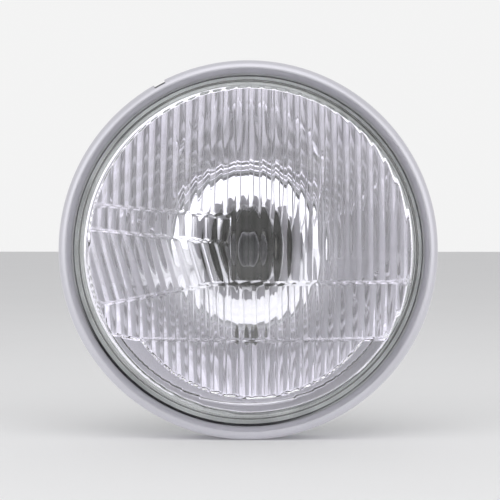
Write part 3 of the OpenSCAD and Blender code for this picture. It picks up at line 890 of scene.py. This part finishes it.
class AddBulb(bpy.types.Operator):
    """Adds the bulb's glass with its dark tip, and its coiled filaments"""

    bl_idname = "headlight.add_bulb"
    bl_label = "Bulb"

    def execute(self, context):
        low, high = node_box("bulb_glass")
        r, wall, straight = high[0], 0.8, high[2] - high[0]
        glass = glass_finish("bulb_glass", (0.985, 0.99, 0.99, 1))
        tip = metal_finish("tip_coat", (0.03, 0.03, 0.032), (0.06, 0.06, 0.063), 0.3)
        tip.node_tree.nodes["Principled BSDF"].inputs["Metallic"].default_value = 0.5
        outside = np.vstack([
            [[r - 0.3, low[2]], [r, low[2] + 0.3]],
            arc(0, straight, r, r, 0, 90, 22),
        ])
        inside = np.vstack([
            arc(0, straight, r - wall, r - wall, 90, 0, 20),
            [[r - wall, low[2] + 0.3], [r - wall + 0.2, low[2]]],
        ])
        outside[-1, 0] = inside[0, 0] = 0.0
        count, last = 128, len(outside) - 2
        profile = np.vstack([outside[:-1], inside[1:]])
        points = np.vstack([
            rings(profile, count), [[0, 0, outside[-1, 1]], [0, 0, inside[0, 1]]]
        ])
        i = np.delete(np.arange(len(profile)), last)
        quads = between(i, (i + 1) % len(profile), count)
        caps = [fan(len(points) - 2, last * count, count),
                fan(len(points) - 1, (last + 1) * count, count)]

        def pick(middle):
            out = np.hypot(middle[:, 0], middle[:, 1])
            over = middle[:, 2] > straight - 1.5
            shell = np.hypot(out, np.maximum(middle[:, 2] - straight, 0)) > r - wall / 2
            return np.where(over & shell, 1, 0)

        piece("bulb_envelope", (points, [quads, *caps]), ["bulb_glass"],
              [glass, tip], pick)
        tungsten = metal_finish("tungsten", (0.50, 0.50, 0.51), (0.62, 0.62, 0.63), 0.35)
        for name, node in (("main_coil", "main_filament"), ("dipped_coil", "dipped_filament")):
            low, high = node_box(node)
            mid, radius = (low + high) / 2, (high[0] - low[0]) / 2 - 0.12
            t = np.linspace(0, 11 * 2 * np.pi, 260)
            coil = np.column_stack([
                mid[0] + radius * np.cos(t), mid[1] + radius * np.sin(t),
                np.linspace(low[2] + 0.12, high[2] - 0.12, len(t)),
            ])
            piece(name, wire(coil, 0.11, 8), [node], [tungsten], sharp=80)
        return {"FINISHED"}


class AddBack(bpy.types.Operator):
    """Adds the rubber boot, the wire clips and the bulb's spring"""

    bl_idname = "headlight.add_back"
    bl_label = "Back"
    CLIP_COUNT, CLIP_WIRE, CLIP_SPAN = 5, 0.9, 34.0

    def execute(self, context):
        metal = context.scene.headlight_metal
        low, high = node_box("boot")
        base_low, base_high = node_box("bulb_base")
        seat, base, back = seat_height(metal), base_high[0], low[2]
        inside, top, rib, step = high[0] - 2.9, seat + 4, 0.9, base + 9.5
        outside = inside + 2.0
        # From the middle of the back round three ribs to the front, and back inside
        rows = np.vstack([
            [[0, back], [base + 4.1, back], [base + 4.45, back + 0.1]],
            arc(base + 4.8, back + 1.4, rib, rib, -95, 70, 10),
            [[base + 5.3, back + 3.2], [base + 5.6, back + 4.0], [base + 6.3, back + 4.6]],
            arc(step, back + 6.2, rib, rib, -140, 20, 10),
            [[step + 1.6, back + 7.2], [outside - 1.6, seat - 7.3]],
            arc(outside - 1.6, seat - 5.7, 1.6, 1.6, -75, 0, 6),
            [[outside, seat - 3.0], [outside, seat + 1.8]],
            arc(outside, seat + 2.8, rib, rib, -75, 75, 9),
            [[outside, seat + 3.75], [outside - 0.25, top], [inside + 0.25, top]],
            [[inside, top - 0.25], [inside, seat - 4.4], [inside - 3, seat - 5.2],
             [base + 0.3, seat - 6.8], [base + 0.3, base_low[2] - 0.3], [0, base_low[2] - 0.3]],
        ])
        black = rubber_finish("boot_rubber", (0.025, 0.025, 0.027), 0.6)
        piece("rubber_boot", ring_grid(rows, 160, closed=False), ["boot"], [black])

        steel = metal_finish("spring_steel", (0.34, 0.34, 0.35), (0.52, 0.52, 0.53), 0.3)
        clip = self.clip_path(metal)
        clips = joined([
            wire(eased(turned(clip, math.radians(90 + 360 / self.CLIP_COUNT * i)), 2.2, 7),
                 self.CLIP_WIRE, 16)
            for i in range(self.CLIP_COUNT)
        ])
        piece("wire_clips", clips, ["spring_clips"], [steel], sharp=60)

        r, screw_x, bar = 0.7, 23.4, base + 1.6
        on_ring = seat - 1.6
        z = on_ring - 1.2 - r
        path = [[screw_x, 2.6, on_ring - r], [screw_x - 1.5, 6, z], [bar * 0.85, bar, z],
                [-bar * 0.85, bar, z], [-screw_x + 1.5, 6, z], [-screw_x, 2.6, on_ring - r]]
        piece("wire_spring", wire(eased(path, 3.0, 8), r, 14), ["bulb_spring"],
              [steel], sharp=60)
        return {"FINISHED"}

    def clip_path(self, metal):
        """Corners of a wire clip between the hem and the back of the flange."""
        r, half = self.CLIP_WIRE, self.CLIP_SPAN / 2
        inner = (metal.rim - metal.sheet) / MM
        low, high = metal.sheet / MM + r, FLANGE_W - metal.bowl / MM - r
        hem, bed = inner - r - 0.4, 80.6
        end = hem - half * half / hem / 2
        return [[end, -half, low], [bed - 0.3, -half * 0.5, high],
                [bed - 0.3, -half * 0.34, high], [hem - 0.3, 0, low],
                [bed - 0.3, half * 0.34, high], [bed - 0.3, half * 0.5, high],
                [end, half, low]]


class AddPilotLamp(bpy.types.Operator):
    """Adds the pilot lamp's glass and grommet"""

    bl_idname = "headlight.add_pilot_lamp"
    bl_label = "Pilot lamp"

    def execute(self, context):
        low, high = node_box("pilot_bulb")
        centre, r = (low + high) / 2, (high[0] - low[0]) / 2
        profile = np.vstack([
            [[0, low[2]], [r - 0.4, low[2]], [r, low[2] + 0.4]],
            arc(0, high[2] - r, r, r, 0, 90, 16),
        ])
        profile[-1, 0] = 0
        points, groups = ring_grid(profile, 64, closed=False)
        points[:, 1] += centre[1]
        glass = glass_finish("pilot_glass", (0.98, 0.985, 0.98, 1))
        piece("pilot_envelope", (points, groups), ["pilot_bulb"], [glass])
        low, high = node_box("pilot_grommet")
        wide, hole, body = (high[0] - low[0]) / 2, PILOT_HOLE + 0.5, 7.6
        profile = np.vstack([
            [[hole, low[2] + 0.3], [hole + 0.3, low[2]]],
            arc(wide - 1.2, low[2] + 1.2, 1.2, 1.2, -90, 0, 6),
            arc(wide - 0.8, low[2] + 2.2, 0.8, 0.8, 0, 90, 5),
            [[body, low[2] + 3.0], [body, high[2] - 0.4], [body - 0.4, high[2]],
             [hole, high[2]]],
        ])
        points, groups = ring_grid(profile, 96)
        points[:, 1] += centre[1]
        black = rubber_finish("grommet_rubber", (0.02, 0.02, 0.021), 0.55)
        piece("pilot_ring", (points, groups), ["pilot_grommet"], [black])
        return {"FINISHED"}


class FinishPieces(bpy.types.Operator):
    """Gives the frame's own pieces their finish"""

    bl_idname = "headlight.finish_pieces"
    bl_label = "Finish of the small pieces"

    def execute(self, context):
        zinc = metal_finish("zinc_plate", (0.55, 0.56, 0.57), (0.70, 0.71, 0.72), 0.33, 140)
        brass = metal_finish("tinned_brass", (0.66, 0.62, 0.50), (0.78, 0.75, 0.66), 0.25)
        moly = metal_finish("molybdenum", (0.80, 0.80, 0.81), (0.90, 0.90, 0.91), 0.34)
        # The bulb's flange and shell are painted near black: painted shade of the bright metal deep
        # in the bulb's hole.
        black = metal_finish("blackened_steel", (0.035, 0.034, 0.033), (0.06, 0.058, 0.055), 0.42)
        base = rubber_finish("base_plastic", (0.05, 0.042, 0.036), 0.48)
        stem = rubber_finish("stem_ceramic", (0.52, 0.50, 0.45), 0.5)
        finishes = {
            "side_brackets": zinc, "captive_nuts": zinc, "bulb_seat": zinc,
            "spring_screws": zinc, "pilot_holder": zinc, "bulb_flange": black,
            "bulb_shell": black, "terminals": brass, "pilot_cap": brass,
            "pilot_contacts": brass, "dipped_shield": moly, "filament_supports": moly,
            "bulb_base": base, "bulb_stem": stem,
        }
        for node, finish in finishes.items():
            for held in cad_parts[node].material_slots:
                held.material = finish
        return {"FINISHED"}


class AddStage(bpy.types.Operator):
    """Adds the pale floor, the soft lamps and the camera"""

    bl_idname = "headlight.add_stage"
    bl_label = "Stage"

    def execute(self, context):
        self.add_floor()
        self.add_lamps()
        self.add_world(context.scene)
        self.add_camera(context.scene)
        return {"FINISHED"}

    def add_floor(self):
        """A level floor at the rim's lowest point. The camera sees it evenly pale; in the mirror
        and the glass its colour follows the room's level and it glows: painted reflection and
        painted light.
        """
        w, s = float(CAD_BOX[0][2]), 4.0
        mesh = bpy.data.meshes.new("floor")
        mesh.from_pydata([(-s, -s, w), (s, -s, w), (s, s, w), (-s, s, w)], [], [(0, 1, 2, 3)])
        floor = bpy.data.objects.new("floor", mesh)
        finish, tree, shader, where = blank_finish("pale_floor")
        shader.inputs["Roughness"].default_value = 0.9
        pale = two_tone(tree, noise(tree, where, 9, 3), (0.80, 0.80, 0.80), (0.82, 0.82, 0.82))
        path = tree.nodes.new("ShaderNodeLightPath")
        far = mixed(tree, 1.0, pale, room_level(tree, where), "MULTIPLY")
        shade = mixed(tree, path.outputs["Is Camera Ray"], far, pale)
        tree.links.new(shade, shader.inputs["Base Color"])
        # A ray that comes through glass is both kinds, and finds the floor twice as light
        kinds = reckoned(
            tree, "ADD", path.outputs["Is Glossy Ray"], path.outputs["Is Transmission Ray"]
        )
        # Painted glow: to glossy and transmission rays the floor shines by itself, though it is no
        # lamp.
        tree.links.new(far, shader.inputs["Emission Color"])
        tree.links.new(
            reckoned(tree, "MULTIPLY", kinds, 0.45), shader.inputs["Emission Strength"]
        )
        mesh.materials.append(finish)
        bpy.context.scene.collection.objects.link(floor)

    def add_lamps(self):
        """Wide soft lamps at the two sides and above, aimed at the lens.

        They aren't seen through the glass, where they would burn out the mirror.
        """
        size, power = 1.3, 5.0
        for name, place in (
            ("left_lamp", (-0.95, -0.75, 0.15)),
            ("right_lamp", (0.95, -0.75, 0.15)),
            ("top_lamp", (0.0, -0.65, 1.0)),
        ):
            data = bpy.data.lights.new(name, "AREA")
            data.shape, data.size, data.energy = "SQUARE", size, power
            lamp = bpy.data.objects.new(name, data)
            lamp.location = place
            lamp.visible_transmission = False
            lamp.rotation_mode = "QUATERNION"
            lamp.rotation_quaternion = (-Vector(place)).to_track_quat("-Z", "Y")
            bpy.context.scene.collection.objects.link(lamp)

    def add_world(self, scene):
        """A pale room that the mirror and the glass see as ROOM gives it."""
        world = bpy.data.worlds.new("room")
        world.use_nodes = True
        tree = world.node_tree
        tree.nodes.clear()
        where = tree.nodes.new("ShaderNodeTexCoord").outputs["Generated"]
        path = tree.nodes.new("ShaderNodeLightPath")
        shiny = reckoned(
            tree, "MAXIMUM", path.outputs["Is Glossy Ray"], path.outputs["Is Transmission Ray"]
        )
        lit = mixed(tree, shiny, (0.62, 0.62, 0.63, 1), room_level(tree, where))
        seen = mixed(tree, path.outputs["Is Camera Ray"], lit, (0.90, 0.90, 0.90, 1))
        back = tree.nodes.new("ShaderNodeBackground")
        tree.links.new(seen, back.inputs["Color"])
        out = tree.nodes.new("ShaderNodeOutputWorld")
        tree.links.new(back.outputs[0], out.inputs[0])
        scene.world = world

    def add_camera(self, scene):
        """A long lens almost straight ahead, a little to the right and above."""
        data = bpy.data.cameras.new("camera")
        data.sensor_width = 36
        distance, half_view = 0.80, 0.1165
        data.lens = data.sensor_width / 2 * distance / half_view
        camera = bpy.data.objects.new("camera", data)
        aim = np.array([0.00107, -0.024, 0.00023])
        side, rise = math.radians(0.9), math.radians(1.2)
        back = np.array([
            math.sin(side) * math.cos(rise), -math.cos(side) * math.cos(rise), math.sin(rise)
        ])
        camera.location = aim + back * distance
        camera.rotation_mode = "QUATERNION"
        camera.rotation_quaternion = Vector(-back).to_track_quat("-Z", "Y")
        scene.collection.objects.link(camera)
        scene.camera = camera


class HeadlightPanel(bpy.types.Panel):
    """Lists the pieces of the headlight"""

    bl_idname = "VIEW3D_PT_headlight"
    bl_label = "Headlight"
    bl_space_type = "VIEW_3D"
    bl_region_type = "UI"
    bl_category = "Headlight"

    def draw(self, context):
        for step in STEPS:
            self.layout.operator(step.bl_idname)
        for group in (context.scene.headlight_lens, context.scene.headlight_metal):
            box = self.layout.box()
            for name in group.__annotations__:
                box.prop(group, name)


STEPS = (AddLens, AddRim, AddReflector, AddSeals, AddBulb, AddBack, AddPilotLamp,
         FinishPieces, AddStage)
CLASSES = (LensSettings, MetalSettings, *STEPS, HeadlightPanel)


def register():
    for made in CLASSES:
        bpy.utils.register_class(made)
    bpy.types.Scene.headlight_lens = PointerProperty(type=LensSettings)
    bpy.types.Scene.headlight_metal = PointerProperty(type=MetalSettings)


def unregister():
    del bpy.types.Scene.headlight_lens
    del bpy.types.Scene.headlight_metal
    for made in reversed(CLASSES):
        bpy.utils.unregister_class(made)


def main():
    register()
    scene = bpy.context.scene
    scene.view_settings.view_transform = "Standard"
    scene.cycles.max_bounces = 24
    scene.cycles.glossy_bounces = 10
    scene.cycles.transmission_bounces = 20
    bpy.ops.headlight.add_lens()
    bpy.ops.headlight.add_rim()
    bpy.ops.headlight.add_reflector()
    bpy.ops.headlight.add_seals()
    bpy.ops.headlight.add_bulb()
    bpy.ops.headlight.add_back()
    bpy.ops.headlight.add_pilot_lamp()
    bpy.ops.headlight.finish_pieces()
    bpy.ops.headlight.add_stage()


if __name__ == "__main__":
    main()
